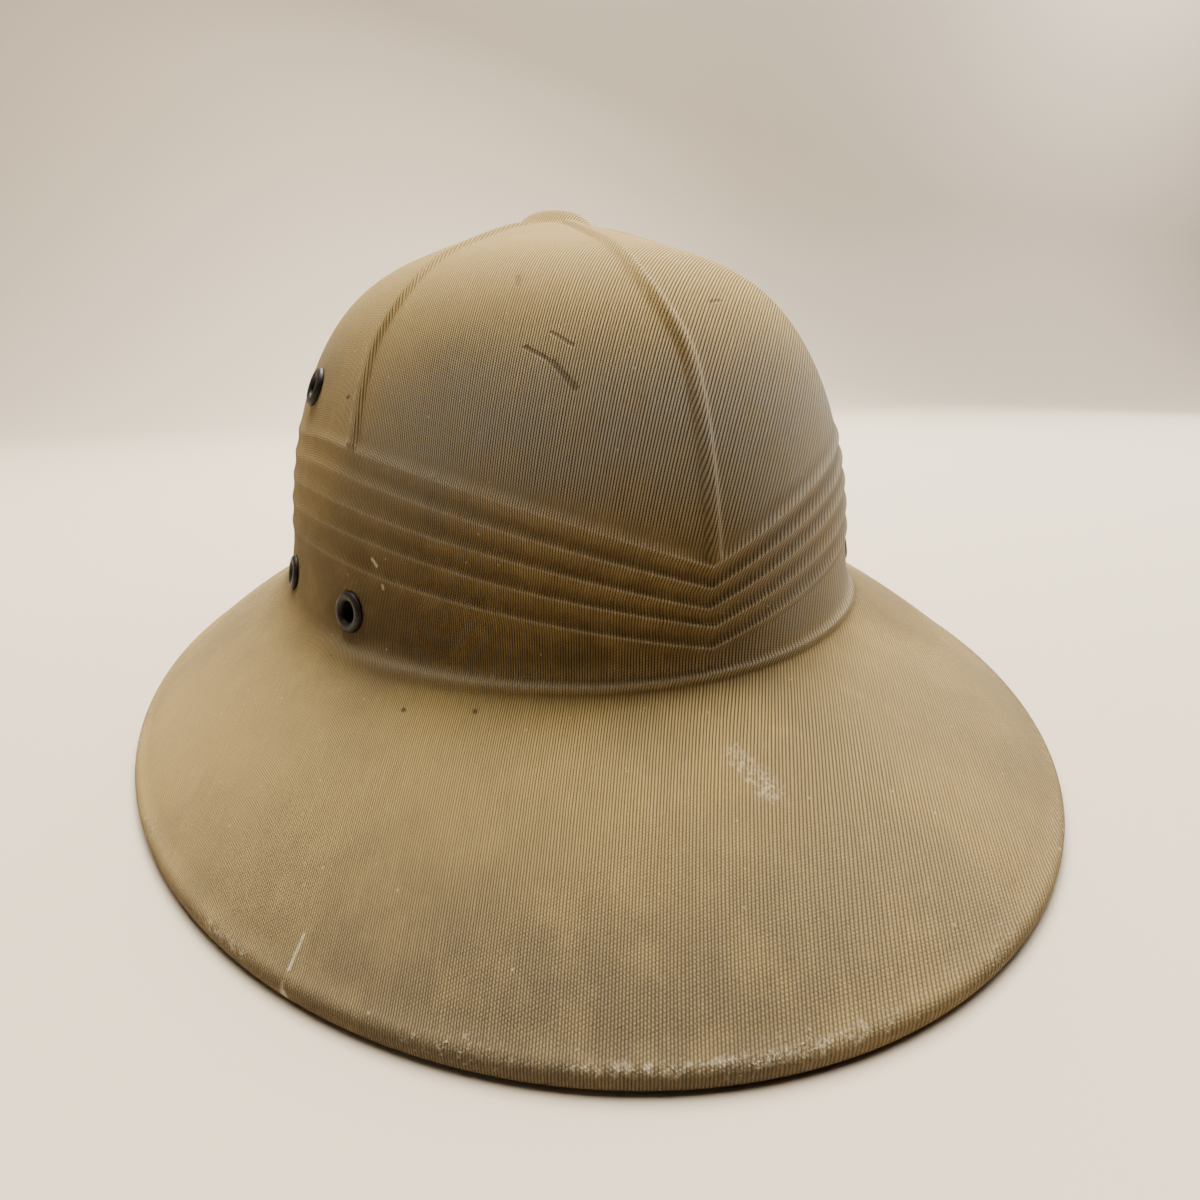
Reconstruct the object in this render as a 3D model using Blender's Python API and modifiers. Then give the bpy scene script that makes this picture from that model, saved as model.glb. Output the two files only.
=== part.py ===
"""Sun helmet of pressed fibre covered with cotton cloth, in metres.

The front faces -Y, +X is the wearer's left and +Z is up.  The origin lies on the surface that
the rim stands on, below the middle of the brim's oval.  The shell is one moulded piece: crown,
knob, ribs, pleated band, bead, brim and turned-down edge.  Six metal eyelets pierce it.
"""
import bpy
import bmesh
import numpy as np
from mathutils import Vector

# Brim.
BRIM_HALF_WIDTH = 0.140
BRIM_HALF_LENGTH = 0.172
BRIM_BULGE = 0.0020          # how far the brim arches above a straight cone
RIM_HEIGHT = 0.0046          # the edge that is turned down
RIM_BEND = 0.0022            # how far the bend takes the edge inwards

# Crown.
CROWN_HALF_WIDTH = 0.0935
CROWN_HALF_LENGTH = 0.1073
CROWN_FORWARD = 0.0015       # the crown's middle lies ahead of the brim's middle
CROWN_FOOT = 0.0300          # height where the brim meets the crown
CROWN_TOP = 0.1294           # height of the crown's dome without the knob and its fillet
REACH_POWER_FRONT = 3.65     # exponents of the crown's upright section: the higher, the fuller
REACH_POWER_SIDE = 3.72
RISE_POWER_FRONT = 2.18
RISE_POWER_SIDE = 1.73
FLARE_FRONT = 0.0020         # how far the crown's foot spreads onto the brim
FLARE_SIDE = 0.0050
FLARE_HEIGHT = 0.0200

# Moulded knob on top.
KNOB_HEIGHT = 0.0047
KNOB_RADIUS = 0.0120
KNOB_POWER = 5.0             # how squarely the knob stands up: the higher, the steeper
KNOB_FILLET_HEIGHT = 0.0087
KNOB_FILLET_RADIUS = 0.0343
KNOB_FILLET_POWER = 2.6
KNOB_SKIRT = 0.0250          # radius inside which the crown is round in plan

# Moulded ribs, bead and pleats, all raised from the crown.
RIB_WIDTH = 0.0046
RIB_RAISE = 0.0013
RIB_ANGLES = (0, 54, 126, 180, 234, 306)   # degrees round from the front
RIB_GAP_COLUMNS = (6, 7, 6, 6, 7, 6)       # columns of faces between one rib and the next
BEAD_RAISE = 0.0012
BEAD_HEIGHT = 0.0022
PLEATS = 5
PLEAT_RAISE_FRONT = 0.0010
PLEAT_RAISE_SIDE = 0.0003
PLEAT_TOP_FRONT = 0.0562     # height of the top pleat at the V
PLEAT_TOP_SIDE = 0.0811      # height of the top pleat at the side
PLEAT_PITCH_FRONT = 0.0046
PLEAT_PITCH_SIDE = 0.0067
PLEAT_RISE_ANGLE = 63        # degrees from the V to where the pleats run level

# Wall and eyelets.
WALL = 0.0030
CLEARANCE = 0.0003
EYELET_FLANGE = 0.0052       # outer radius of the flange that shows
EYELET_BACK_FLANGE = 0.0046
EYELET_BARREL = 0.0036
EYELET_HOLE = 0.0028
EYELET_RAISE = 0.0013
EYELET_BACK_THICKNESS = 0.0005
EYELET_SIDES = 16
# Each eyelet's place on one side: angle round from the front, and height.
EYELET_PLACES = {
    "low_front": (54.0, 0.0413),
    "low_rear": (76.6, 0.0416),
    "high": (72.4, 0.0925),
}

MEAN_RADIUS = (CROWN_HALF_WIDTH + CROWN_HALF_LENGTH) / 2


def material(name, colour, roughness, metallic=0.0):
    """A Principled material with one colour."""
    result = bpy.data.materials.new(name)
    result.use_nodes = True
    shader = result.node_tree.nodes["Principled BSDF"]
    shader.inputs["Base Color"].default_value = (*colour, 1)
    shader.inputs["Roughness"].default_value = roughness
    shader.inputs["Metallic"].default_value = metallic
    return result


def add_object(name, mesh, collection, look=None):
    """Put a mesh into the scene as a named object."""
    result = bpy.data.objects.new(name, mesh)
    collection.objects.link(result)
    if look is not None:
        mesh.materials.append(look)
    return result


def oval(angle, half_width, half_length, middle=0.0):
    """Points of an oval in plan; angle 0 is the front, at -Y."""
    return half_width * np.sin(angle), middle - half_length * np.cos(angle)


def knob(radius):
    """Height that the knob and its fillet add at a distance from the crown's axis."""
    fillet = KNOB_FILLET_HEIGHT * np.exp(-(radius / KNOB_FILLET_RADIUS) ** KNOB_FILLET_POWER)
    return KNOB_HEIGHT * np.exp(-(radius / KNOB_RADIUS) ** KNOB_POWER) + fillet


def section_powers(angle):
    """Exponents of reach and rise in the crown's upright section at an angle."""
    frontal = np.cos(angle) ** 2
    reach_power = REACH_POWER_SIDE + (REACH_POWER_FRONT - REACH_POWER_SIDE) * frontal
    rise_power = RISE_POWER_SIDE + (RISE_POWER_FRONT - RISE_POWER_SIDE) * frontal
    return reach_power, rise_power


def crown_by_share(angle, share):
    """Crown surface; share is 1 at the foot and 0 at the axis."""
    reach_power, rise_power = section_powers(angle)
    height = (CROWN_TOP - CROWN_FOOT) * (1 - share ** reach_power) ** (1 / rise_power)
    skirt = KNOB_SKIRT / MEAN_RADIUS
    spread = np.maximum(share - skirt, 0) / (1 - skirt)
    core = np.minimum(share, skirt) * MEAN_RADIUS
    flare = FLARE_SIDE + (FLARE_FRONT - FLARE_SIDE) * np.cos(angle) ** 2
    flare = flare * np.maximum(1 - height / FLARE_HEIGHT, 0) ** 2
    half_width = core + (CROWN_HALF_WIDTH - KNOB_SKIRT) * spread + flare
    half_length = core + (CROWN_HALF_LENGTH - KNOB_SKIRT) * spread + flare
    x, y = oval(angle, half_width, half_length, -CROWN_FORWARD)
    return np.stack([x, y, CROWN_FOOT + height + knob(share * MEAN_RADIUS)], -1)


def crown_by_height(angle, height):
    """Crown surface at a height above the ground."""
    reach_power, rise_power = section_powers(angle)
    rise = np.clip((height - CROWN_FOOT) / (CROWN_TOP - CROWN_FOOT), 0, 1)
    return crown_by_share(angle, (1 - rise ** rise_power) ** (1 / reach_power))


def brim(angle, share):
    """Brim surface; share is 0 at the bend of the rim and 1 at the crown's foot."""
    outer_x, outer_y = oval(angle, BRIM_HALF_WIDTH - RIM_BEND, BRIM_HALF_LENGTH - RIM_BEND)
    foot = crown_by_height(angle, CROWN_FOOT)
    x = outer_x + (foot[..., 0] - outer_x) * share
    y = outer_y + (foot[..., 1] - outer_y) * share
    arch = 4 * BRIM_BULGE * share * (1 - share)
    z = np.full_like(x, RIM_HEIGHT + (CROWN_FOOT - RIM_HEIGHT) * share + arch)
    return np.stack([x, y, z], -1)


def rim(angle, share):
    """Turned-down edge; share is 0 on the ground and 1 at the top of the straight band."""
    x, y = oval(angle, BRIM_HALF_WIDTH, BRIM_HALF_LENGTH)
    z = np.full_like(x, share * (RIM_HEIGHT - RIM_BEND))
    return np.stack([x, y, z], -1)


def rim_bend(angle, turn):
    """Rounded bend from the upright edge, at turn 0, to the brim, at turn 90 degrees."""
    inset = RIM_BEND * (1 - np.cos(turn))
    x, y = oval(angle, BRIM_HALF_WIDTH - inset, BRIM_HALF_LENGTH - inset)
    z = np.full_like(x, RIM_HEIGHT - RIM_BEND * (1 - np.sin(turn)))
    return np.stack([x, y, z], -1)


def pleat_height(angle, number):
    """Height of a pleat's crest round the crown; number 0 is the top one."""
    from_v = np.degrees(np.arccos(np.abs(np.cos(angle))))
    climb = 1 - np.maximum(1 - from_v / PLEAT_RISE_ANGLE, 0) ** 1.6
    at_v = PLEAT_TOP_FRONT - number * PLEAT_PITCH_FRONT
    at_side = PLEAT_TOP_SIDE - number * PLEAT_PITCH_SIDE
    return at_v + (at_side - at_v) * climb


def column_angles(radius):
    """Angles of the columns of faces, closer together across each rib."""
    angles = []
    raised = []
    for index, start in enumerate(RIB_ANGLES):
        following = RIB_ANGLES[(index + 1) % len(RIB_ANGLES)]
        sweep = np.radians((following - start) % 360)
        half = RIB_WIDTH / 2 / radius
        on_axis = start % 180 == 0
        across = (-1, -0.5, 0, 0.5) if on_axis else (-1, -0.5, 0.5)
        for offset in across:
            angles.append(np.radians(start) + offset * half)
            raised.append(abs(offset) < 1)
        count = RIB_GAP_COLUMNS[index]
        for step in range(count + 1):
            angles.append(np.radians(start) + half + (sweep - 2 * half) * step / (count + 1))
            raised.append(False)
    return np.array(angles), np.array(raised, dtype=float)


def shell_rows():
    """The shell's plain rows from the ground up, what each raises, and whether the lining
    side of the wall has the row too."""
    rows = []

    def add(points, raise_by=0.0, inside=False):
        rows.append((points, raise_by * np.ones(len(points)), inside))

    angles, on_rib = column_angles(MEAN_RADIUS)
    near_v = np.clip(2 * np.abs(np.cos(angles)) - 0.8, 0, 1)
    add(rim(angles, 0.0), inside=True)
    add(rim(angles, 1.0), inside=True)
    for turn in (45, 90):
        add(rim_bend(angles, np.radians(turn)), inside=turn == 90)
    for share in (0.12, 0.35, 0.62, 0.88):
        add(brim(angles, share), inside=share in (0.35, 0.88))
    add(brim(angles, 0.97), -BEAD_RAISE / 3 * near_v)
    add(crown_by_height(angles, CROWN_FOOT), -BEAD_RAISE / 2 * near_v, inside=True)
    for lift, amount in ((0.4, 0.8), (0.8, 1.0), (1.4, 0.0)):
        bead = CROWN_FOOT + lift * BEAD_HEIGHT
        add(crown_by_height(angles, bead), amount * BEAD_RAISE * near_v)
    frontal = np.cos(angles) ** 2
    pleat_raise = PLEAT_RAISE_SIDE + (PLEAT_RAISE_FRONT - PLEAT_RAISE_SIDE) * frontal
    valley = (pleat_height(angles, PLEATS - 1) + pleat_height(angles, PLEATS)) / 2
    for share in (0.3, 0.6):
        add(crown_by_height(angles, bead + (valley - bead) * share), inside=share == 0.6)
    for number in reversed(range(PLEATS)):
        crest = pleat_height(angles, number)
        below = pleat_height(angles, number + 1)
        add(crown_by_height(angles, crest - 0.5 * (crest - below)), inside=number % 2 == 0)
        add(crown_by_height(angles, crest - 0.22 * (crest - below)), 0.25 * pleat_raise)
        add(crown_by_height(angles, crest), pleat_raise)
    top = pleat_height(angles, 0)
    above = top + 0.3 * (top - pleat_height(angles, 1))
    add(crown_by_height(angles, above), on_rib * RIB_RAISE, inside=True)

    reach_power, rise_power = section_powers(angles)
    rise = (above - CROWN_FOOT) / (CROWN_TOP - CROWN_FOOT)
    start = np.arcsin(rise ** (rise_power / 2))
    skirt = KNOB_SKIRT / MEAN_RADIUS
    finish = np.arccos(skirt ** (reach_power / 2))
    steps = 9
    for step in range(1, steps + 1):
        share = np.cos(start + (finish - start) * step / steps) ** (2 / reach_power)
        radius = (share * MEAN_RADIUS).mean()
        angles, on_rib = column_angles(radius)
        add(crown_by_share(angles, share), on_rib * RIB_RAISE, inside=step % 2 == 0 or step == steps)
    for radius in (0.0205, 0.0170, 0.0150, 0.0134, 0.0118, 0.0085, 0.0040):
        angles, on_rib = column_angles(max(radius, 0.0120))
        fade = np.clip((radius - KNOB_RADIUS) / (KNOB_SKIRT - KNOB_RADIUS) * 2, 0, 1)
        add(crown_by_share(angles, np.full_like(angles, radius / MEAN_RADIUS)),
            on_rib * RIB_RAISE * fade, inside=radius in (0.0170, 0.0085))
    return rows


def row_normals(grid):
    """Outward unit normals of a grid of points, rows from the ground up, columns closed."""
    along = np.roll(grid, -1, 1) - np.roll(grid, 1, 1)
    upward = np.gradient(grid, axis=0)
    normal = np.cross(along, upward)
    return normal / np.linalg.norm(normal, axis=2, keepdims=True)


def shell_mesh():
    """Closed loft: down the lining side from its pole, round the rim, and up the outside."""
    rows = shell_rows()
    plain = np.array([points for points, raise_by, inside in rows])
    raised = np.array([raise_by for points, raise_by, inside in rows])
    has_inside = np.array([inside for points, raise_by, inside in rows])
    normals = row_normals(plain)
    outer = plain + normals * raised[..., None]
    inner = (plain - normals * WALL)[has_inside]
    rings = list(inner[::-1]) + list(outer)

    build = bmesh.new()
    loops = [[build.verts.new(Vector(point)) for point in ring] for ring in rings]
    columns = len(loops[0])
    for lower, upper in zip(loops, loops[1:]):
        for column in range(columns):
            following = (column + 1) % columns
            build.faces.new((lower[column], lower[following], upper[following], upper[column]))
    axis = (0, -CROWN_FORWARD)
    top = CROWN_TOP + KNOB_FILLET_HEIGHT + KNOB_HEIGHT
    poles = ((loops[0], top - WALL), (loops[-1], top))
    for ring, height in poles:
        pole = build.verts.new((*axis, height))
        for column in range(columns):
            build.faces.new((ring[column], ring[(column + 1) % columns], pole))
    bmesh.ops.recalc_face_normals(build, faces=build.faces)
    mesh = bpy.data.meshes.new("shell")
    build.to_mesh(mesh)
    build.free()
    mesh.shade_smooth()
    mesh.set_sharp_from_angle(angle=np.radians(50))
    return mesh


def eyelet_seat(angle, height):
    """Middle, outward axis and stand-off of an eyelet that clears the wall all round."""
    step = EYELET_FLANGE / MEAN_RADIUS
    middle = crown_by_height(angle, height)
    along = crown_by_height(angle + step, height) - crown_by_height(angle - step, height)
    upward = (crown_by_height(angle, height + EYELET_FLANGE)
              - crown_by_height(angle, height - EYELET_FLANGE))
    outward = np.cross(along, upward)
    outward = outward / np.linalg.norm(outward)
    proud = []
    for turn in np.radians(np.arange(0, 360, 15)):
        place = crown_by_height(angle + step * np.cos(turn), height + EYELET_FLANGE * np.sin(turn))
        proud.append(np.dot(place - middle, outward))
    stand_off = max(max(proud), 0) + CLEARANCE
    return Vector(middle), Vector(outward), stand_off


def eyelet_mesh(stand_off, look):
    """Profile of a rolled eyelet, a closed loop that a Screw modifier turns about Z."""
    rim_roll = EYELET_FLANGE - EYELET_HOLE
    top = stand_off + EYELET_RAISE
    back = -(WALL + 3 * CLEARANCE + stand_off)
    profile = [
        (EYELET_HOLE + 0.40 * rim_roll, top),
        (EYELET_HOLE + 0.80 * rim_roll, top - 0.25 * EYELET_RAISE),
        (EYELET_FLANGE, stand_off + 0.25 * EYELET_RAISE),
        (EYELET_FLANGE - 0.05 * rim_roll, stand_off),
        (EYELET_BARREL, stand_off),
        (EYELET_BARREL, back),
        (EYELET_BACK_FLANGE, back),
        (EYELET_BACK_FLANGE, back - EYELET_BACK_THICKNESS),
        (EYELET_HOLE, back - EYELET_BACK_THICKNESS),
        (EYELET_HOLE, top - 0.45 * EYELET_RAISE),
    ]
    mesh = bpy.data.meshes.new("eyelet")
    points = [(radius, 0, height) for radius, height in profile]
    edges = [(index, (index + 1) % len(points)) for index in range(len(points))]
    mesh.from_pydata(points, edges, [])
    mesh.materials.append(look)
    return mesh


def add_turning(target):
    """Turn a profile about the object's Z axis."""
    screw = target.modifiers.new("Turn", "SCREW")
    screw.steps = EYELET_SIDES
    screw.render_steps = EYELET_SIDES
    screw.use_merge_vertices = True
    screw.merge_threshold = 0.00001
    screw.use_smooth_shade = True


def place_along(target, middle, outward):
    """Put an object's origin at a point with its Z axis along a direction."""
    target.location = middle
    target.rotation_mode = "QUATERNION"
    target.rotation_quaternion = outward.to_track_quat("Z", "Y")


def eyelet_cutter(name, middle, outward, collection):
    """A hidden cylinder that drills the wall for one eyelet."""
    bpy.ops.mesh.primitive_cylinder_add(
        vertices=EYELET_SIDES, radius=EYELET_BARREL + CLEARANCE, depth=6 * WALL)
    cutter = bpy.context.object
    cutter.name = name
    for holder in list(cutter.users_collection):
        holder.objects.unlink(cutter)
    collection.objects.link(cutter)
    place_along(cutter, middle, outward)
    cutter.hide_render = True
    cutter.display_type = "WIRE"
    return cutter


def main():
    for old in list(bpy.data.objects):
        bpy.data.objects.remove(old)
    scene = bpy.context.scene
    parts = bpy.data.collections.new("sun_helmet")
    cutters = bpy.data.collections.new("cutters")
    scene.collection.children.link(parts)
    scene.collection.children.link(cutters)
    cloth = material("khaki_cloth", (0.36, 0.27, 0.16), 0.9)
    metal = material("dark_metal", (0.05, 0.045, 0.04), 0.4, 1.0)

    shell = add_object("shell", shell_mesh(), parts, cloth)
    for side, sign in (("left", 1), ("right", -1)):
        for place, (degrees, height) in EYELET_PLACES.items():
            name = f"eyelet_{side}_{place}"
            middle, outward, stand_off = eyelet_seat(sign * np.radians(degrees), height)
            cutter = eyelet_cutter(f"{name}_drill", middle, outward, cutters)
            drill = shell.modifiers.new(f"Drill {name}", "BOOLEAN")
            drill.operation = "DIFFERENCE"
            drill.solver = "EXACT"
            drill.object = cutter
            eyelet = add_object(name, eyelet_mesh(stand_off, metal), parts)
            place_along(eyelet, middle, outward)
            add_turning(eyelet)


main()
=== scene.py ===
# %% [markdown]
# # A khaki sun helmet of pressed fibre and cloth
#
# The real helmet is one shell: wet fibre and cotton drill pressed together in a mould, so the
# ribs, the pleats of the band and the knob on top are all pressed into one skin. Six dark metal
# eyelets let air through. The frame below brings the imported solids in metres, with the rim
# standing on the ground. The shell is made again here as a much finer surface, and so are the
# eyelets.

import bpy
import numpy as np
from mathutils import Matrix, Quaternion, Vector


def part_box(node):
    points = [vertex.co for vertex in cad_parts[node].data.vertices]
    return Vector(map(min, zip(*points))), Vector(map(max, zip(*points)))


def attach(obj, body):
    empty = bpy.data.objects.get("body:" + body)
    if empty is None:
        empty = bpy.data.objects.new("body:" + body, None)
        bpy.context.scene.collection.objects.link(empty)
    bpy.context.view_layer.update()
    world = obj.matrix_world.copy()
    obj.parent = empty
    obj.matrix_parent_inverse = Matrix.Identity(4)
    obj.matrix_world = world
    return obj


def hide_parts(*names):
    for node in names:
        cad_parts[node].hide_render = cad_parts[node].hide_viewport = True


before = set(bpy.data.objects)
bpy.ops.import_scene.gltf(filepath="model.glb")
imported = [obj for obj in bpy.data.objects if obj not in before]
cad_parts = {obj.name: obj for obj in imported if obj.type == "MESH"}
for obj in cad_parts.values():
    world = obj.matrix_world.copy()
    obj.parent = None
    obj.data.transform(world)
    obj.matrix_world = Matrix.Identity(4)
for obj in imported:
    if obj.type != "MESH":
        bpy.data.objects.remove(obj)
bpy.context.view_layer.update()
shell_low, shell_high = (np.array(corner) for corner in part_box("shell"))
MM = 0.001
BRIM_HALF_WIDTH = (shell_high[0] - shell_low[0]) / 2
BRIM_HALF_LENGTH = (shell_high[1] - shell_low[1]) / 2
KNOB_TOP = shell_high[2]
print("brim", BRIM_HALF_WIDTH, BRIM_HALF_LENGTH, "top", KNOB_TOP)

# %% [markdown]
# The remaining sizes are those of the solids: where the crown stands on the brim, how full its
# sides are, and how the pleats climb from the V at the front. Angles run round the crown from
# the front, which faces -Y, towards +X.

# %% Sizes of the shell
WALL = 3.0 * MM
RIM_HEIGHT = 4.6 * MM
RIM_BEND = 2.2 * MM
RIM_LIP = 1.1 * MM
BRIM_BULGE = 2.0 * MM
CROWN_HALF_WIDTH = 93.5 * MM
CROWN_HALF_LENGTH = 107.3 * MM
CROWN_FORWARD = 1.5 * MM
CROWN_FOOT = 30.0 * MM
KNOB_HEIGHT = 4.7 * MM
KNOB_RADIUS = 12.0 * MM
KNOB_POWER = 5.0
KNOB_FILLET_HEIGHT = 8.7 * MM
KNOB_FILLET_RADIUS = 34.3 * MM
KNOB_FILLET_POWER = 2.6
KNOB_SKIRT = 25.0 * MM
CROWN_TOP = KNOB_TOP - KNOB_FILLET_HEIGHT - KNOB_HEIGHT
REACH_POWER_FRONT, REACH_POWER_SIDE = 3.65, 3.72
RISE_POWER_FRONT, RISE_POWER_SIDE = 2.18, 1.73
FLARE_FRONT, FLARE_SIDE = 1.0 * MM, 4.5 * MM
FLARE_HEIGHT = 22.0 * MM
MEAN_RADIUS = (CROWN_HALF_WIDTH + CROWN_HALF_LENGTH) / 2
FILLET_FRONT = 4.5 * MM
FILLET_SIDE = 10.0 * MM
# A row for each rib: angle at the band, lean towards the knob in degrees, the heights between
# which it leans, and the side its crease is on: 1 towards smaller angles, -1 towards larger.
RIBS = (
    (0, -4.5, 97 * MM, 122 * MM, 1),
    (54, -3.0, 100 * MM, 122 * MM, 1),
    (126, 3.0, 100 * MM, 122 * MM, -1),
    (180, 4.5, 97 * MM, 122 * MM, -1),
    (234, -3.0, 100 * MM, 122 * MM, 1),
    (306, 3.0, 100 * MM, 122 * MM, -1),
)
RIB_RAISE = 1.1 * MM
SIDE_RIB_STRENGTH = 0.75
RIB_START_FADE = 1.2 * MM
RIB_END = 13.0 * MM
RIB_END_FADE = 5.0 * MM
# The bead and the groove under it lie at these shares of the fillet, with these half widths.
BEAD_AT, BEAD_WIDTH, BEAD_RAISE = 0.62, 0.12, 0.9 * MM
GROOVE_AT, GROOVE_WIDTH, GROOVE_DEPTH = 0.38, 0.10, 0.35 * MM
PLEAT_RAISE_FRONT = 0.85 * MM
PLEAT_RAISE_SIDE = 0.35 * MM
PLEAT_RISE_ANGLE = 66
PLEAT_RISE_POWER = 1.6
PLEAT_LEFT_PACE = 1.18
PLEAT_WANDER = 0.18 * MM
PLEAT_TIP = 0.16
# A row for each pleat, top to bottom: height at the V, height at the side, and how far the
# V lies off the middle, in degrees.
PLEATS = (
    (56.1 * MM, 81.0 * MM, -0.4),
    (51.2 * MM, 74.9 * MM, -0.6),
    (46.9 * MM, 68.2 * MM, -1.0),
    (42.5 * MM, 61.5 * MM, -0.2),
    (37.7 * MM, 54.3 * MM, -0.5),
)

# %% [markdown]
# Every row of the surface is a level line round the helmet. In plan the brim and the crown are
# ovals; upright, the crown follows a lopsided superellipse, steep at the foot and full at
# the shoulder. These functions take whole arrays of angles and give whole arrays of points.


# %% Plain surfaces of brim and crown
def oval(angle, half_width, half_length, middle=0.0):
    """x = half width times sine, y = middle minus half length times cosine of the angle."""
    return half_width * np.sin(angle), middle - half_length * np.cos(angle)


def smooth_step(value):
    """0 below 0, 1 above 1, and 3v^2 - 2v^3 between."""
    value = np.clip(value, 0, 1)
    return value * value * (3 - 2 * value)


def bell(value, middle, width):
    """exp(-((value - middle) / width)^2)."""
    return np.exp(-((value - middle) / width) ** 2)


def knob(radius):
    """Two bells of the distance from the axis, height times exp(-(r/R)^power)."""
    fillet = KNOB_FILLET_HEIGHT * np.exp(-(radius / KNOB_FILLET_RADIUS) ** KNOB_FILLET_POWER)
    return KNOB_HEIGHT * np.exp(-(radius / KNOB_RADIUS) ** KNOB_POWER) + fillet


def section_powers(angle):
    """Exponents of reach and rise, blended from side to front by the cosine squared."""
    frontal = np.cos(angle) ** 2
    reach_power = REACH_POWER_SIDE + (REACH_POWER_FRONT - REACH_POWER_SIDE) * frontal
    rise_power = RISE_POWER_SIDE + (RISE_POWER_FRONT - RISE_POWER_SIDE) * frontal
    return reach_power, rise_power


def crown_by_share(angle, share):
    """share^n + rise^m = 1 gives the height; the ovals turn into circles at the knob."""
    reach_power, rise_power = section_powers(angle)
    height = (CROWN_TOP - CROWN_FOOT) * (1 - share ** reach_power) ** (1 / rise_power)
    skirt = KNOB_SKIRT / MEAN_RADIUS
    spread = np.maximum(share - skirt, 0) / (1 - skirt)
    core = np.minimum(share, skirt) * MEAN_RADIUS
    flare = FLARE_SIDE + (FLARE_FRONT - FLARE_SIDE) * np.cos(angle) ** 2
    flare = flare * np.maximum(1 - height / FLARE_HEIGHT, 0) ** 2
    half_width = core + (CROWN_HALF_WIDTH - KNOB_SKIRT) * spread + flare
    half_length = core + (CROWN_HALF_LENGTH - KNOB_SKIRT) * spread + flare
    x, y = oval(angle, half_width, half_length, -CROWN_FORWARD)
    return np.stack([x, y, CROWN_FOOT + height + knob(share * MEAN_RADIUS)], -1)


def crown_share(angle, height):
    """The share of the crown's reach at a height, from the superellipse."""
    reach_power, rise_power = section_powers(angle)
    rise = np.clip((height - CROWN_FOOT) / (CROWN_TOP - CROWN_FOOT), 0, 1)
    return (1 - rise ** rise_power) ** (1 / reach_power)


def crown_by_height(angle, height):
    """The crown's surface at a height."""
    return crown_by_share(angle, crown_share(angle, height))


def brim(angle, share):
    """A straight cone from rim to crown's foot, arched by 4 s (1 - s)."""
    outer_x, outer_y = oval(angle, BRIM_HALF_WIDTH - RIM_BEND, BRIM_HALF_LENGTH - RIM_BEND)
    foot = crown_by_height(angle, CROWN_FOOT)
    x = outer_x + (foot[..., 0] - outer_x) * share
    y = outer_y + (foot[..., 1] - outer_y) * share
    z = RIM_HEIGHT + (CROWN_FOOT - RIM_HEIGHT) * share + 4 * BRIM_BULGE * share * (1 - share)
    return np.stack([x, y, z + 0 * x], -1)


def rim(angle, inset, height):
    """A level oval at an inset from the outermost edge."""
    x, y = oval(angle, BRIM_HALF_WIDTH - inset, BRIM_HALF_LENGTH - inset)
    return np.stack([x, y, height + 0 * x], -1)


# %% [markdown]
# The pleats are five narrow crests with wide hollows between them. The level lines of the mesh
# follow the crests, so that each one stays crisp while it climbs from the V to the side. The V
# wanders a little from pleat to pleat, as it does where a hand-cut mould has been retouched.


# %% Columns and pleats
COLUMN_SEARCH = 0.05
RIB_COLUMNS = 3.0
RIB_SPREAD = 2.0


def signed_turn(angle, start):
    """The angle from start, between -180 and 180 degrees, in radians."""
    return (angle - np.radians(start) + np.pi) % (2 * np.pi) - np.pi


def column_angles():
    """Columns of the mesh, one a degree, and up to three more a degree across each rib."""
    fine = np.radians(np.arange(0, 360, COLUMN_SEARCH))
    density = np.ones_like(fine)
    for start, *_ in RIBS:
        density += RIB_COLUMNS * bell(np.degrees(signed_turn(fine, start)), 0, RIB_SPREAD)
    total = np.concatenate([[0], np.cumsum(density)])
    count = int(total[-1] * COLUMN_SEARCH)
    edges = np.concatenate([fine, [2 * np.pi]])
    return np.interp(np.arange(count) / count * total[-1], total, edges)


def pleat_height(angle, number):
    """Crest height: climbs from the V along 1 - (1 - turn/66)^1.6, then runs level."""
    at_v, at_side, shift = PLEATS[number]
    front = np.cos(angle) > 0
    turn = np.degrees(signed_turn(angle, np.where(front, shift, 180)))
    turn = np.where(turn > 0, turn * PLEAT_LEFT_PACE, -turn)
    climb = 1 - np.maximum(1 - turn / PLEAT_RISE_ANGLE, 0) ** PLEAT_RISE_POWER
    wander = PLEAT_WANDER * np.sin(5 * angle + 2.1 * number) * np.sin(2 * angle + number)
    return at_v + (at_side - at_v) * climb + wander


def pleat_section(step):
    """Raise between two crests, 1 at a crest and 0 half way: 1 - |sin|, with its tip rounded."""
    wave = np.sqrt(np.sin(np.pi * step) ** 2 + PLEAT_TIP ** 2) - PLEAT_TIP
    return 1 - wave / (np.sqrt(1 + PLEAT_TIP ** 2) - PLEAT_TIP)


# %% [markdown]
# A rib is lapped: on one side it climbs steeply out of a shallow crease, on the other it falls
# away slowly. The crease is painted dark, as shade with some dirt, and the edge of the slow side
# is painted pale, as a highlight with some rubbing.

# %% Ribs
CREASE_AT, CREASE_WIDTH, CREASE_DEPTH = -2.3 * MM, 0.8 * MM, 0.18
CLIMB_START, CLIMB_WIDTH = -2.4 * MM, 1.7 * MM
FALL_START, FALL_WIDTH = 0.5 * MM, 2.0 * MM
# Painted highlight, with some rubbing, along the edge of the slow side; painted shade, with some
# grime, in the crease.
HIGHLIGHT_AND_RUB_AT, HIGHLIGHT_AND_RUB_WIDTH, HIGHLIGHT_AND_RUB_STRENGTH = 1.8 * MM, 0.7 * MM, 0.6
SHADE_AND_GRIME_AT, SHADE_AND_GRIME_WIDTH = -1.9 * MM, 0.9 * MM


def rib_section(across, steep):
    """A rib across its line: steep times a bell for the crease, plus one step up and one down."""
    crease = -CREASE_DEPTH * bell(across, CREASE_AT, CREASE_WIDTH) * steep
    climb = smooth_step((across - CLIMB_START) / CLIMB_WIDTH)
    fall = 1 - smooth_step((across - FALL_START) / FALL_WIDTH)
    return crease + climb * fall


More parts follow.
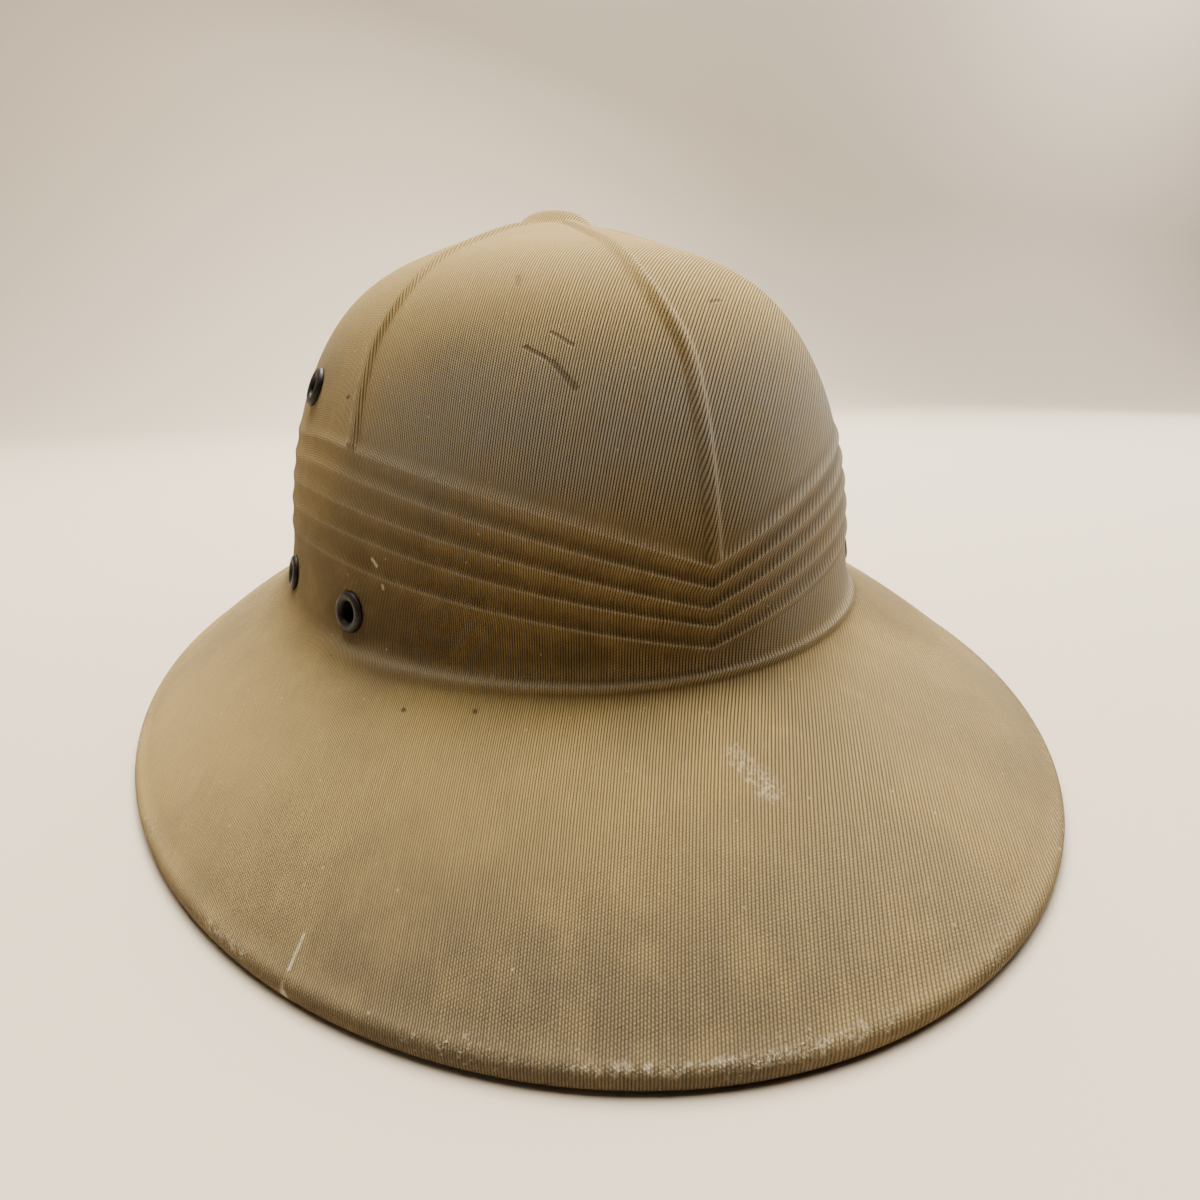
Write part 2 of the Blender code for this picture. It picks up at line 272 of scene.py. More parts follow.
def rib_raise(angle, radius, height):
    """All ribs, each leaning a little towards the knob, with painted highlight and rubbing on one
    edge and painted shade and grime in the crease.
    """
    total = np.zeros_like(angle + radius)
    highlight_and_rub, shade_and_grime = total.copy(), total.copy()
    for start, lean, low, high, lap in RIBS:
        near_top = smooth_step((height - low) / (high - low))
        across = lap * (signed_turn(angle, start) - np.radians(lean) * near_top) * radius
        strength = 1.0 if start in (0, 180) else SIDE_RIB_STRENGTH
        total += strength * rib_section(across, strength)
        highlight_and_rub += HIGHLIGHT_AND_RUB_STRENGTH * strength * bell(across, HIGHLIGHT_AND_RUB_AT, HIGHLIGHT_AND_RUB_WIDTH)
        shade_and_grime += strength * bell(across, SHADE_AND_GRIME_AT, SHADE_AND_GRIME_WIDTH)
    return total, highlight_and_rub, shade_and_grime


# %% [markdown]
# The shell is built as a stack of level lines, from inside the rim up the outside to the top of
# the knob. Each line also says how much is pressed out of the plain surface there. The same
# plain lines, moved in by the wall's thickness, make the inside.


# %% Helpers for level lines
angles = column_angles()
side = np.sin(angles) ** 2
# The bead is sharp at the front and back and fades out at the sides.
near_v = smooth_step(2.2 * np.abs(np.cos(angles)) - 0.9)
pleat_raise = PLEAT_RAISE_SIDE + (PLEAT_RAISE_FRONT - PLEAT_RAISE_SIDE) * np.cos(angles) ** 2
lines = []


def steps(count, end=1.0):
    """Equal steps from 0 up to the end, without the 0."""
    return np.linspace(0, end, count + 1)[1:]


def add_line(points, raise_by=0.0, inside=False, highlight_and_rub=0.0, shade_and_grime=0.0):
    """Keep one level line, what is raised there, its painted highlight and shade with rubbing and
    grime, and whether the inside has it.
    """
    lines.append((points, raise_by + 0 * angles, inside, highlight_and_rub + 0 * angles, shade_and_grime + 0 * angles))


def add_pleat_line(line_height, section, inside=False):
    """A level line in the band: crests get painted highlight and rubbing, hollows painted shade
    and grime, less so at the sides.
    """
    highlight_and_shade_share = 0.25 + 0.75 * np.cos(angles) ** 2
    add_line(crown_by_height(angles, line_height), pleat_raise * section, inside,
             highlight_and_rub=0.75 * highlight_and_shade_share * section ** 8, shade_and_grime=highlight_and_shade_share * (1 - section) ** 1.5)


# %% Rim and brim
for share in (0.3, 1.0):
    add_line(rim(angles, RIM_LIP + (WALL - 2 * RIM_LIP) * (1 - share), 0.0))
for turn in np.radians((-60, -30, 0)):
    add_line(rim(angles, RIM_LIP * (1 - np.cos(turn)), RIM_LIP * (1 + np.sin(turn))),
             inside=turn == 0)
for turn in np.radians((0, 15, 30, 45, 60, 75, 90)):
    bend_height = RIM_HEIGHT - RIM_BEND * (1 - np.sin(turn))
    add_line(rim(angles, RIM_BEND * (1 - np.cos(turn)), bend_height), inside=turn > 1.5)

fillet = FILLET_FRONT + (FILLET_SIDE - FILLET_FRONT) * side
foot_plain = crown_by_height(angles, CROWN_FOOT)
brim_edge = brim(angles, 0.0)
brim_width = np.linalg.norm((foot_plain - brim_edge)[:, :2], axis=1)
fillet_share = 1 - fillet / brim_width
for number, step in enumerate(steps(29)):
    share = fillet_share * step ** 0.9
    add_line(brim(angles, share), inside=number % 4 == 3)

# %% Fillet at the crown's foot, with its bead
fillet_start = brim(angles, fillet_share)
fillet_end = crown_by_height(angles, CROWN_FOOT + fillet)
for number, step in enumerate(steps(23)):
    curve = ((1 - step) ** 2 * fillet_start.T + 2 * step * (1 - step) * foot_plain.T
             + step ** 2 * fillet_end.T).T
    bead = bell(step, BEAD_AT, BEAD_WIDTH)
    groove = bell(step, GROOVE_AT, GROOVE_WIDTH)
    # The bead gets painted highlight with some rubbing; the groove under it gets painted shade
    # with some grime.
    add_line(curve, (BEAD_RAISE * bead - GROOVE_DEPTH * groove) * near_v, inside=number % 8 == 5,
             highlight_and_rub=near_v * bead, shade_and_grime=0.8 * near_v * groove)

# %% Pleated band
crests = [pleat_height(angles, number) for number in range(len(PLEATS))]
lowest = crests[-1] - 0.5 * (crests[-2] - crests[-1])
start = CROWN_FOOT + fillet
valley = np.maximum(lowest, start + 0.4 * MM)
for step in steps(7):
    add_line(crown_by_height(angles, start + (valley - start) * step), inside=step == 1)
for step in steps(6, 0.5):
    height = valley + (crests[-1] - valley) * step * 2
    add_pleat_line(height, pleat_section(0.5 + step))
for number in reversed(range(len(PLEATS) - 1)):
    low, high = crests[number + 1], crests[number]
    for step in steps(12):
        add_pleat_line(low + (high - low) * step, pleat_section(step), inside=step == 0.5)
band_top = crests[0] + 0.55 * (crests[0] - crests[1])
for step in steps(6, 0.5):
    height = crests[0] + (band_top - crests[0]) * step * 2
    add_pleat_line(height, pleat_section(step))

# %% Dome and knob
reach_power, rise_power = section_powers(angles)
rise = (band_top - CROWN_FOOT) / (CROWN_TOP - CROWN_FOOT)
first = np.arcsin(rise ** (rise_power / 2))
last = np.arccos((KNOB_SKIRT / MEAN_RADIUS) ** (reach_power / 2))
for number, step in enumerate(steps(40)):
    share = np.cos(first + (last - first) * step) ** (2 / reach_power)
    add_line(crown_by_share(angles, share), inside=number % 6 == 3)
for number, radius in enumerate(np.linspace(25.0, 0.8, 26)[1:] * MM):
    share = np.full_like(angles, radius / MEAN_RADIUS)
    add_line(crown_by_share(angles, share), inside=number % 6 == 4)
print("level lines", len(lines), "columns", len(angles))

# %% [markdown]
# Moving each point along its own normal turns the plain surface into the pressed one. The ribs
# run from the top pleat to the knob and fade at both ends.


# %% Press the relief into the surface
plain = np.array([line[0] for line in lines])
raised = np.array([line[1] for line in lines])
has_inside = np.array([line[2] for line in lines])
highlight_and_rub = np.array([line[3] for line in lines])
shade_and_grime = np.array([line[4] for line in lines])


def row_normals(grid):
    """Unit normals from the cross product of the steps along and across the lines."""
    along = np.roll(grid, -1, 1) - np.roll(grid, 1, 1)
    upward = np.gradient(grid, axis=0)
    normal = np.cross(along, upward)
    return normal / np.linalg.norm(normal, axis=2, keepdims=True)


normals = row_normals(plain)
height = plain[..., 2]
radius = np.hypot(plain[..., 0], plain[..., 1] + CROWN_FORWARD)
above_band = smooth_step((height - crests[0]) / RIB_START_FADE)
before_knob = smooth_step((radius - RIB_END) / RIB_END_FADE)
rib_part = above_band * before_knob
rib_height, rib_highlight_and_rub, rib_shade_and_grime = rib_raise(angles[None, :], radius, height)
raised = raised + RIB_RAISE * rib_height * rib_part
# The ribs add their painted highlight and shade, with rubbing and grime.
highlight_and_rub = highlight_and_rub + rib_highlight_and_rub * rib_part
shade_and_grime = shade_and_grime + rib_shade_and_grime * rib_part
outer = plain + normals * raised[..., None]
inner = (plain - normals * WALL)[has_inside]
print("raised", raised.min(), raised.max())

# %% [markdown]
# Cloth has a direction. Seen from above, its cords run straight across brim and crown at a slant,
# and are drawn closer together towards the wearer's right. Above the band they are pulled over
# a little, so that they climb the crown slantwise.


# %% Lay the cloth on a map in millimetres
CORDS_ACROSS = 0.814
CORDS_BACK = -0.576
SQUEEZE = 0.0046
SQUEEZE_END = -85.0
PULL = -0.18
PULL_FOOT = 50.0


def cloth_map(grid):
    """u = 0.81 x - 0.58 y - q x^2 where x < 0, less p (z - 50) higher up; v runs along."""
    x, y, z = np.moveaxis(grid / MM, -1, 0)
    drawn = np.clip(x, SQUEEZE_END, 0)
    beyond = np.minimum(x, SQUEEZE_END) - SQUEEZE_END
    squeezed = SQUEEZE * (drawn * drawn + 2 * SQUEEZE_END * beyond)
    pull = PULL * np.maximum(z - PULL_FOOT, 0)
    u = CORDS_ACROSS * x + CORDS_BACK * y - squeezed + pull
    v = -CORDS_BACK * x + CORDS_ACROSS * y + z
    return np.stack([u, v], -1)


outer_map = cloth_map(plain)
inner_map = outer_map[has_inside]
# The second map carries painted highlight and painted shade, with rubbing and grime.
wear_and_shade_map = np.clip(np.stack([highlight_and_rub, shade_and_grime], -1), 0, 1)


def closed_grid(name, rings, ring_maps, poles):
    """Quads between neighbouring rings, a fan of triangles to each pole, and its UV maps."""
    count, columns = rings.shape[:2]
    points = np.concatenate([rings.reshape(-1, 3), poles])
    index = np.arange(count * columns).reshape(count, columns)
    following = np.roll(index, -1, 1)
    quads = np.stack([index[:-1], following[:-1], following[1:], index[1:]], -1).reshape(-1, 4)
    first_pole = np.full(columns, count * columns)
    fans = np.concatenate([np.stack([following[0], index[0], first_pole], -1),
                           np.stack([index[-1], following[-1], first_pole + 1], -1)])
    mesh = bpy.data.meshes.new(name)
    mesh.from_pydata(points.tolist(), [], quads.tolist() + fans.tolist())
    corners = np.empty(len(mesh.loops), dtype=np.int32)
    mesh.loops.foreach_get("vertex_index", corners)
    for map_name, ring_map in ring_maps.items():
        values = np.concatenate([ring_map.reshape(-1, 2), np.zeros((len(poles), 2))])
        layer = mesh.uv_layers.new(name=map_name)
        layer.data.foreach_set("uv", values[corners].astype(np.float32).ravel())
    mesh.shade_smooth()
    result = bpy.data.objects.new(name, mesh)
    bpy.context.scene.collection.objects.link(result)
    print(name, len(mesh.polygons), "faces")
    return result


axis_point = np.array([0, -CROWN_FORWARD, 0])
pole_points = np.array([axis_point + [0, 0, KNOB_TOP - WALL], axis_point + [0, 0, KNOB_TOP]])
shell_maps = {"cloth": np.concatenate([inner_map[::-1], outer_map]),
              "wear": np.concatenate([np.zeros_like(inner_map), wear_and_shade_map])}
shell = closed_grid("helmet_shell", np.concatenate([inner[::-1], outer]), shell_maps, pole_points)
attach(shell, "root")
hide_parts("shell")

# %% [markdown]
# An eyelet is a tube of thin metal whose end is rolled out over the cloth. It stands along the
# wall's normal at its place. The profile below runs from the rolled lip down through the hole
# to the back flange and is turned about that normal; a drum of the same place drills the wall.

# %% Places of the eyelets
# A row for each eyelet on one side: its node's name, angle from the front, height.
EYELETS = (
    ("low_front", 54.0, 41.3 * MM),
    ("low_rear", 76.6, 41.6 * MM),
    ("high", 72.4, 92.5 * MM),
)
FLANGE = 5.2 * MM
BARREL = 3.6 * MM
HOLE = 2.7 * MM
LIP_RAISE = 1.35 * MM


def eyelet_seat(degrees, seat_height):
    """Middle of the seat, outward normal and level tangent, from steps on the crown."""
    angle = np.radians(degrees)
    step = FLANGE / MEAN_RADIUS
    middle = crown_by_height(angle, seat_height)
    along = crown_by_height(angle + step, seat_height) - crown_by_height(angle - step, seat_height)
    upward = (crown_by_height(angle, seat_height + FLANGE)
              - crown_by_height(angle, seat_height - FLANGE))
    outward = np.cross(along, upward)
    return middle, outward / np.linalg.norm(outward), along / np.linalg.norm(along)


seats = {}
for side_name, sign in (("left", 1), ("right", -1)):
    for place, degrees, seat_height in EYELETS:
        seats[f"eyelet_{side_name}_{place}"] = eyelet_seat(sign * degrees, seat_height)
print("eyelet seats", len(seats))


# %% Turn the eyelets
def lip_profile():
    """Half a roll: an ellipse from the hole's edge over the lip and down to the cloth."""
    turn = np.radians(np.linspace(-20, 180, 15))
    middle, half = (FLANGE + HOLE) / 2, (FLANGE - HOLE) / 2
    roll = np.stack([middle + half * np.cos(turn),
                     0.35 * MM + (LIP_RAISE - 0.35 * MM) * np.sin(turn)], -1)
    throat = [(HOLE, -0.4 * MM), (HOLE, -WALL - 0.5 * MM), (HOLE + 0.2 * MM, -WALL - 0.9 * MM)]
    back = [(4.4 * MM, -WALL - 0.9 * MM), (4.6 * MM, -WALL - 0.6 * MM),
            (4.4 * MM, -WALL - 0.3 * MM)]
    barrel = [(BARREL, -WALL - 0.3 * MM), (BARREL, -0.1 * MM), (FLANGE - 0.3 * MM, -0.05 * MM)]
    return np.concatenate([roll, throat, back, barrel])


def turned_eyelet(name, seat, sides=56):
    """The closed profile turned about the seat's normal, with a map of turn and profile."""
    middle, outward, along = seat
    across = np.cross(outward, along)
    profile = lip_profile()
    turn = np.linspace(0, 2 * np.pi, sides, endpoint=False)
    around = np.cos(turn)[:, None] * along + np.sin(turn)[:, None] * across
    points = middle + profile[None, :, :1] * around[:, None, :] + profile[None, :, 1:] * outward
    count = len(profile)
    index = np.arange(sides * count).reshape(sides, count)
    following = np.roll(index, -1, 0)
    quads = np.stack([index, following, np.roll(following, -1, 1), np.roll(index, -1, 1)], -1)
    mesh = bpy.data.meshes.new(name)
    mesh.from_pydata(points.reshape(-1, 3).tolist(), [], quads.reshape(-1, 4).tolist())
    turn_map = np.arange(sides)[:, None] + np.array([0, 1, 1, 0])
    step_map = np.arange(count)[:, None] + np.array([0, 0, 1, 1])
    maps = np.stack(np.broadcast_arrays(turn_map[:, None, :] / sides, step_map[None] / count), -1)
    layer = mesh.uv_layers.new(name="turned")
    layer.data.foreach_set("uv", maps.astype(np.float32).ravel())
    mesh.shade_smooth()
    result = bpy.data.objects.new(name, mesh)
    bpy.context.scene.collection.objects.link(result)
    return result


def drum(seat, radius, depth, sides=40):
    """Points and faces of a closed drum centred on a seat."""
    middle, outward, along = seat
    across = np.cross(outward, along)
    turn = np.linspace(0, 2 * np.pi, sides, endpoint=False)
    ring = radius * (np.cos(turn)[:, None] * along + np.sin(turn)[:, None] * across)
    points = np.concatenate([middle + ring - depth * outward, middle + ring + depth * outward])
    walls = [(k, (k + 1) % sides, sides + (k + 1) % sides, sides + k) for k in range(sides)]
    ends = [tuple(range(sides))[::-1], tuple(range(sides, 2 * sides))]
    return points, walls + ends


def drill(target, radius):
    """Cut every eyelet's hole with one exact Boolean, then drop the cutter."""
    points, faces = [], []
    for seat in seats.values():
        drum_points, drum_faces = drum(seat, radius, 2 * WALL)
        start = len(points)
        points += drum_points.tolist()
        faces += [tuple(start + corner for corner in face) for face in drum_faces]
    mesh = bpy.data.meshes.new("drums")
    mesh.from_pydata(points, [], faces)
    cutter = bpy.data.objects.new("drums", mesh)
    bpy.context.scene.collection.objects.link(cutter)
    cut = target.modifiers.new("eyelet holes", "BOOLEAN")
    cut.object = cutter
    depsgraph = bpy.context.evaluated_depsgraph_get()
    drilled = bpy.data.meshes.new_from_object(target.evaluated_get(depsgraph))
    target.modifiers.clear()
    target.data = drilled
    bpy.data.objects.remove(cutter)
    print("drilled shell", len(drilled.polygons), "faces")


drill(shell, BARREL + 0.3 * MM)
eyelets = []
for name, seat in seats.items():
    piece = turned_eyelet("fine_" + name, seat)
    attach(piece, "root")
    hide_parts(name)
    eyelets.append(piece)

# %% [markdown]
# The materials use node groups that work in millimetres. One small class keeps their code short:
# its methods add a node with its settings and inputs, or a math node, a ramp, a noise or a mix.


# %% Helpers for nodes
class Tree:
    """Adds nodes to one node tree; an input is a number, a tuple or another node's output."""

    def __init__(self, tree):
        self.tree = tree

    def add(self, kind, inputs=None, **settings):
        node = self.tree.nodes.new(kind)
        for key, value in settings.items():
            setattr(node, key, value)
        for key, value in (inputs or {}).items():
            if isinstance(value, bpy.types.NodeSocket):
                self.tree.links.new(value, node.inputs[key])
            else:
                node.inputs[key].default_value = value
        return node

    def math(self, operation, first, second=0.0, third=0.0, clamp=False):
        inputs = {0: first, 1: second, 2: third}
        return self.add("ShaderNodeMath", inputs, operation=operation, use_clamp=clamp).outputs[0]

    def vector(self, operation, first, second=(0, 0, 0)):
        node = self.add("ShaderNodeVectorMath", {0: first, 1: second}, operation=operation)
        return node.outputs["Value" if operation in ("LENGTH", "DOT_PRODUCT") else "Vector"]

    def ramp(self, value, low, high, to_low=0.0, to_high=1.0):
        node = self.add("ShaderNodeMapRange", {"Value": value, "From Min": low, "From Max": high,
                                               "To Min": to_low, "To Max": to_high},
                        interpolation_type="SMOOTHSTEP")
        return node.outputs["Result"]

    def noise(self, vector, scale, detail=2.0, roughness=0.5):
        inputs = {"Vector": vector, "Scale": scale, "Detail": detail, "Roughness": roughness}
        return self.add("ShaderNodeTexNoise", inputs).outputs["Fac"]

    def mix(self, share, first, second, blend="MIX"):
        node = self.add("ShaderNodeMix", {0: share, 6: first, 7: second}, data_type="RGBA",
                        blend_type=blend)
        return node.outputs[2]


def new_group(name, inputs, outputs):
    """An empty node group with named sockets, as a Tree, its input node and its output node."""
    group = bpy.data.node_groups.new(name, "ShaderNodeTree")
    for socket, kind in inputs:
        group.interface.new_socket(socket, in_out="INPUT", socket_type=kind)
    for socket, kind in outputs:
        group.interface.new_socket(socket, in_out="OUTPUT", socket_type=kind)
    tree = Tree(group)
    return tree, tree.add("NodeGroupInput").outputs, tree.add("NodeGroupOutput").inputs


def use_group(tree, name, inputs):
    """A node of a group, as its outputs."""
    node = tree.add("ShaderNodeGroup", node_tree=bpy.data.node_groups[name])
    for key, value in inputs.items():
        if isinstance(value, bpy.types.NodeSocket):
            tree.tree.links.new(value, node.inputs[key])
        else:
            node.inputs[key].default_value = value
    return node.outputs


VECTOR, FLOAT = "NodeSocketVector", "NodeSocketFloat"

# %% [markdown]
# Cotton drill shows fine diagonal cords, about 0.7 mm apart. Each cord is a row of floats, so on
# the flat of the brim it reads as short staggered dashes. The cords wander and swell a little.


# %% The weave
CORD_PITCH = 0.72
CORD_WANDER = 0.5
FLOAT_LENGTH = 0.78


def weave_group():
    """Height = |sin(pi u / pitch)|, beaded along v, with u pushed about by slow noise."""
    tree, given, result = new_group(
        "drill weave", [("Cloth", VECTOR), ("Pitch", FLOAT), ("Wander", FLOAT), ("Beads", FLOAT)],
        [("Height", FLOAT), ("Cord", FLOAT), ("Slub", FLOAT)])
    stretched = tree.vector("MULTIPLY", given["Cloth"], (0.30, 0.035, 1.0))
    push = tree.math("MULTIPLY", tree.math("SUBTRACT", tree.noise(stretched, 1.0), 0.5),
                     given["Wander"])
    split = tree.add("ShaderNodeSeparateXYZ", {0: given["Cloth"]}).outputs
    u = tree.math("DIVIDE", tree.math("ADD", split["X"], push), given["Pitch"])
    cord = tree.math("ABSOLUTE", tree.math("SINE", tree.math("MULTIPLY", u, np.pi)))
    odd = tree.math("MULTIPLY", tree.math("FLOOR", u), np.pi)
    float_turn = tree.math("MULTIPLY_ADD", split["Y"], 2 * np.pi / FLOAT_LENGTH, odd)
    bead = tree.math("MULTIPLY_ADD", tree.math("SINE", float_turn), 0.5, 0.5)
    bead_depth = tree.math("MULTIPLY", tree.math("SUBTRACT", 1.0, bead), given["Beads"])
    height = tree.math("MULTIPLY", cord, tree.math("SUBTRACT", 1.0, bead_depth))
    yarn = tree.vector("MULTIPLY", given["Cloth"], (1.43, 0.09, 1.0))
    tree.tree.links.new(height, result["Height"])
    tree.tree.links.new(tree.ramp(height, 0.15, 0.85), result["Cord"])
    tree.tree.links.new(tree.noise(yarn, 1.0, 3.0, 0.6), result["Slub"])


weave_group()


# %% [markdown]
# Age shows as broad fading and greying, small mottles, lint and specks. All of it is noise in
# the helmet's own coordinates, so it stays in place on every side.


# %% Age, dirt, and painted light and shade
def age_group():
    """Noise of three sizes and two kinds of dots, all from the position in millimetres."""
    tree, given, result = new_group(
        "cloth age", [("Position", VECTOR)],
        [(socket, FLOAT) for socket in ("Broad", "Mottle", "Grain", "Lint", "Specks")])
    tree.tree.links.new(tree.noise(given["Position"], 0.022, 3.0, 0.55), result["Broad"])
    tree.tree.links.new(tree.noise(given["Position"], 0.13, 3.0, 0.6), result["Mottle"])
    tree.tree.links.new(tree.noise(given["Position"], 1.9, 2.0, 0.6), result["Grain"])
    for socket, scale, size, rarity in (("Lint", 0.32, 0.11, 0.86), ("Specks", 0.11, 0.05, 0.80)):
        cells = tree.add("ShaderNodeTexVoronoi", {"Vector": given["Position"], "Scale": scale})
        dot = tree.ramp(cells.outputs["Distance"], size, size * 0.5)
        chosen = tree.add("ShaderNodeSeparateColor", {0: cells.outputs["Color"]}).outputs["Red"]
        kept = tree.math("GREATER_THAN", chosen, rarity)
        tree.tree.links.new(tree.math("MULTIPLY", dot, kept), result[socket])


def stroke_group():
    """1 on the segment from Start to End and 0 beyond Width from it, with a ragged edge."""
    tree, given, result = new_group(
        "stroke", [("Position", VECTOR), ("Start", VECTOR), ("End", VECTOR), ("Width", FLOAT)],
        [("Mask", FLOAT)])
    run = tree.vector("SUBTRACT", given["End"], given["Start"])
    offset = tree.vector("SUBTRACT", given["Position"], given["Start"])
    run_squared = tree.math("MAXIMUM", tree.vector("DOT_PRODUCT", run, run), 0.0001)
    share = tree.math("DIVIDE", tree.vector("DOT_PRODUCT", offset, run), run_squared, clamp=True)
    scaled = tree.add("ShaderNodeVectorMath", {0: run, "Scale": share}, operation="SCALE")
    away = tree.vector("LENGTH", tree.vector("SUBTRACT", offset, scaled.outputs[0]))
    ragged = tree.math("MULTIPLY_ADD", tree.noise(given["Position"], 1.3, 2.0), 1.2, 0.4)
    reach = tree.math("DIVIDE", tree.math("MULTIPLY", away, ragged), given["Width"])
    tree.tree.links.new(tree.ramp(reach, 1.0, 0.3), result["Mask"])


def rim_group():
    """Scuffs on the rim's bend, torn by noise; grime near the edge; painted shadow, with a little
    grime, over the front of the brim.
    """
    tree, given, result = new_group(
        "rim scuffs and front shadow", [("Position", VECTOR), ("Half Width", FLOAT), ("Half Length", FLOAT)],
        [("Worn", FLOAT), ("Edge", FLOAT), ("Front Shadow And Grime", FLOAT)])
    split = tree.add("ShaderNodeSeparateXYZ", {0: given["Position"]}).outputs
    x = tree.math("DIVIDE", split["X"], given["Half Width"])
    y = tree.math("DIVIDE", split["Y"], given["Half Length"])
    oval_share = tree.math("SQRT", tree.math("ADD", tree.math("MULTIPLY", x, x),
                                             tree.math("MULTIPLY", y, y)))
    inset = tree.math("MULTIPLY", tree.math("SUBTRACT", 1.0, oval_share), given["Half Width"])
    below = tree.ramp(split["Z"], 1.2, 3.2)
    near = tree.math("MULTIPLY", tree.ramp(inset, 3.4, 0.6), below)
    shreds = tree.ramp(tree.noise(given["Position"], 0.9, 4.0, 0.75), 0.54, 0.66)
    places = tree.ramp(tree.noise(given["Position"], 0.035, 2.0, 0.6), 0.47, 0.62)
    tree.tree.links.new(tree.math("MULTIPLY", tree.math("MULTIPLY", near, shreds), places),
                        result["Worn"])
    tree.tree.links.new(tree.ramp(inset, 7.0, 0.5), result["Edge"])
    # Painted shadow, with a little grime: the brim is darkened near its front edge, most at the
    # wearer's right.
    near_rim = tree.ramp(inset, 42.0, 4.0)
    front = tree.math("MULTIPLY", near_rim, tree.ramp(split["Y"], -60.0, -150.0))
    front = tree.math("MULTIPLY", front, tree.ramp(split["X"], 30.0, -35.0, 0.5, 1.0))
    tree.tree.links.new(front, result["Front Shadow And Grime"])


def zones_group():
    """Painted light and shade on the crown: a pale grey tint of cool light at its front and left,
    and warm brown shade on and below the band, darkest low down and at the front.
    """
    tree, given, result = new_group("painted light and shade zones", [("Position", VECTOR), ("Age", FLOAT)],
                                    [("Cool Light", FLOAT), ("Band Shade", FLOAT)])
    split = tree.add("ShaderNodeSeparateXYZ", {0: given["Position"]}).outputs
    patchy = tree.ramp(given["Age"], 0.25, 0.65, 0.6, 1.0)
    on_crown = tree.ramp(split["Z"], 30.0, 38.0)
    band = tree.math("MULTIPLY", on_crown, tree.ramp(split["Z"], 82.0, 52.0))
    forward = tree.ramp(split["Y"], -40.0, -88.0)
    leftward = tree.ramp(split["X"], -6.0, 28.0)
    below_top = tree.ramp(split["Z"], 113.0, 84.0)
    grey = tree.math("MULTIPLY", tree.math("MAXIMUM", forward, leftward), below_top)
    only_left = tree.math("MULTIPLY_ADD", leftward, 0.9, tree.math("SUBTRACT", 1.0, band),
                          clamp=True)
    grey = tree.math("MULTIPLY", tree.math("MULTIPLY", grey, on_crown), only_left)
    brown = tree.math("MULTIPLY", band, tree.math("MULTIPLY_ADD", leftward, -0.9, 1.0))
    tree.tree.links.new(tree.math("MULTIPLY", tree.math("MULTIPLY", grey, patchy), 0.88),
                        result["Cool Light"])
    strength = tree.math("MULTIPLY", tree.ramp(split["Z"], 48.0, 38.0, 0.62, 0.80),
                         tree.ramp(split["Y"], -25.0, -72.0, 0.45, 1.0))
    tree.tree.links.new(tree.math("MULTIPLY", tree.math("MULTIPLY", brown, patchy), strength),
                        result["Band Shade"])


age_group()
stroke_group()
rim_group()
zones_group()
print("groups", [group.name for group in bpy.data.node_groups])

# %% [markdown]
# These marks are on the real helmet: creases and nicks on the crown, a rubbed patch and small dark
# dots on the brim, and scratches on the rim. The dark lines of the creases are painted crease
# shade. Places are in millimetres.

# %% Marks on the cloth
# A row for each mark: kind, start, end, width, strength.
MARKS = (
    # The first three rows are painted shade along creases on the crown.
    ("dark", (-32.9, -82.5, 100.3), (-28.5, -86.8, 97.4), 0.8, 0.60),
    ("dark", (-28.5, -86.8, 97.4), (-25.3, -91.2, 92.5), 1.1, 0.60),
    ("dark", (-27.3, -83.1, 103.1), (-24.0, -86.5, 100.6), 0.7, 0.45),
    ("dark", (10.8, -82.2, 110.0), (14.0, -81.2, 110.6), 0.8, 0.50),
    ("dark", (-30.0, -68.4, 115.1), (-30.9, -70.6, 113.4), 0.9, 0.40),
    ("dark", (-67.1, -91.6, 27.0), (-67.1, -91.9, 27.0), 0.8, 0.85),
    ("dark", (-52.8, -99.8, 28.0), (-52.8, -100.1, 28.0), 0.8, 0.85),
    ("dark", (-68.9, -51.8, 90.5), (-68.9, -52.1, 90.5), 0.8, 0.75),
    ("dark", (92.0, -68.0, 24.2), (80.0, -88.0, 23.8), 24.0, 0.46),
    ("pale", (-69.0, -70.6, 55.8), (-68.2, -72.2, 54.4), 0.6, 0.80),
    ("pale", (-67.6, -74.1, 50.2), (-67.6, -74.1, 49.4), 0.6, 0.70),
    ("pale", (-88.0, -125.0, 7.2), (-91.5, -130.1, 3.0), 0.45, 0.60),
    ("pale", (-91.6, -130.1, 1.8), (-91.6, -130.1, 1.1), 1.3, 0.90),
    ("frayed", (-6.2, -129.0, 23.5), (-3.6, -136.5, 20.8), 3.8, 0.85),
    ("frayed", (-105.4, -113.2, 3.8), (-98.7, -121.9, 3.8), 1.6, 0.80),
    ("frayed", (-66.0, -152.3, 4.2), (-52.0, -159.6, 4.2), 1.2, 0.50),
    ("frayed", (-52.0, -159.6, 4.2), (-38.0, -165.1, 4.2), 1.5, 0.65),
    ("frayed", (-38.0, -165.1, 4.2), (-20.0, -169.7, 4.2), 1.3, 0.60),
    ("frayed", (-20.0, -169.7, 4.2), (-10.0, -171.1, 4.2), 1.9, 0.70),
)


def marks_group():
    """The strongest of all dark marks and of all pale marks; frayed ones are torn by noise."""
    tree, given, result = new_group("marks", [("Position", VECTOR)],
                                    [("Dark", FLOAT), ("Pale", FLOAT)])
    totals = {"dark": 0.0, "pale": 0.0, "frayed": 0.0}
    for kind, start, end, width, strength in MARKS:
        stroke = use_group(tree, "stroke", {"Position": given["Position"], "Start": start,
                                            "End": end, "Width": width})
        weighted = tree.math("MULTIPLY", stroke["Mask"], strength)
        totals[kind] = tree.math("MAXIMUM", totals[kind], weighted)
    torn = tree.ramp(tree.noise(given["Position"], 0.75, 5.0, 0.8), 0.45, 0.68)
    frayed = tree.math("MULTIPLY", totals["frayed"], torn)
    tree.tree.links.new(totals["dark"], result["Dark"])
    tree.tree.links.new(tree.math("MAXIMUM", totals["pale"], frayed), result["Pale"])


marks_group()
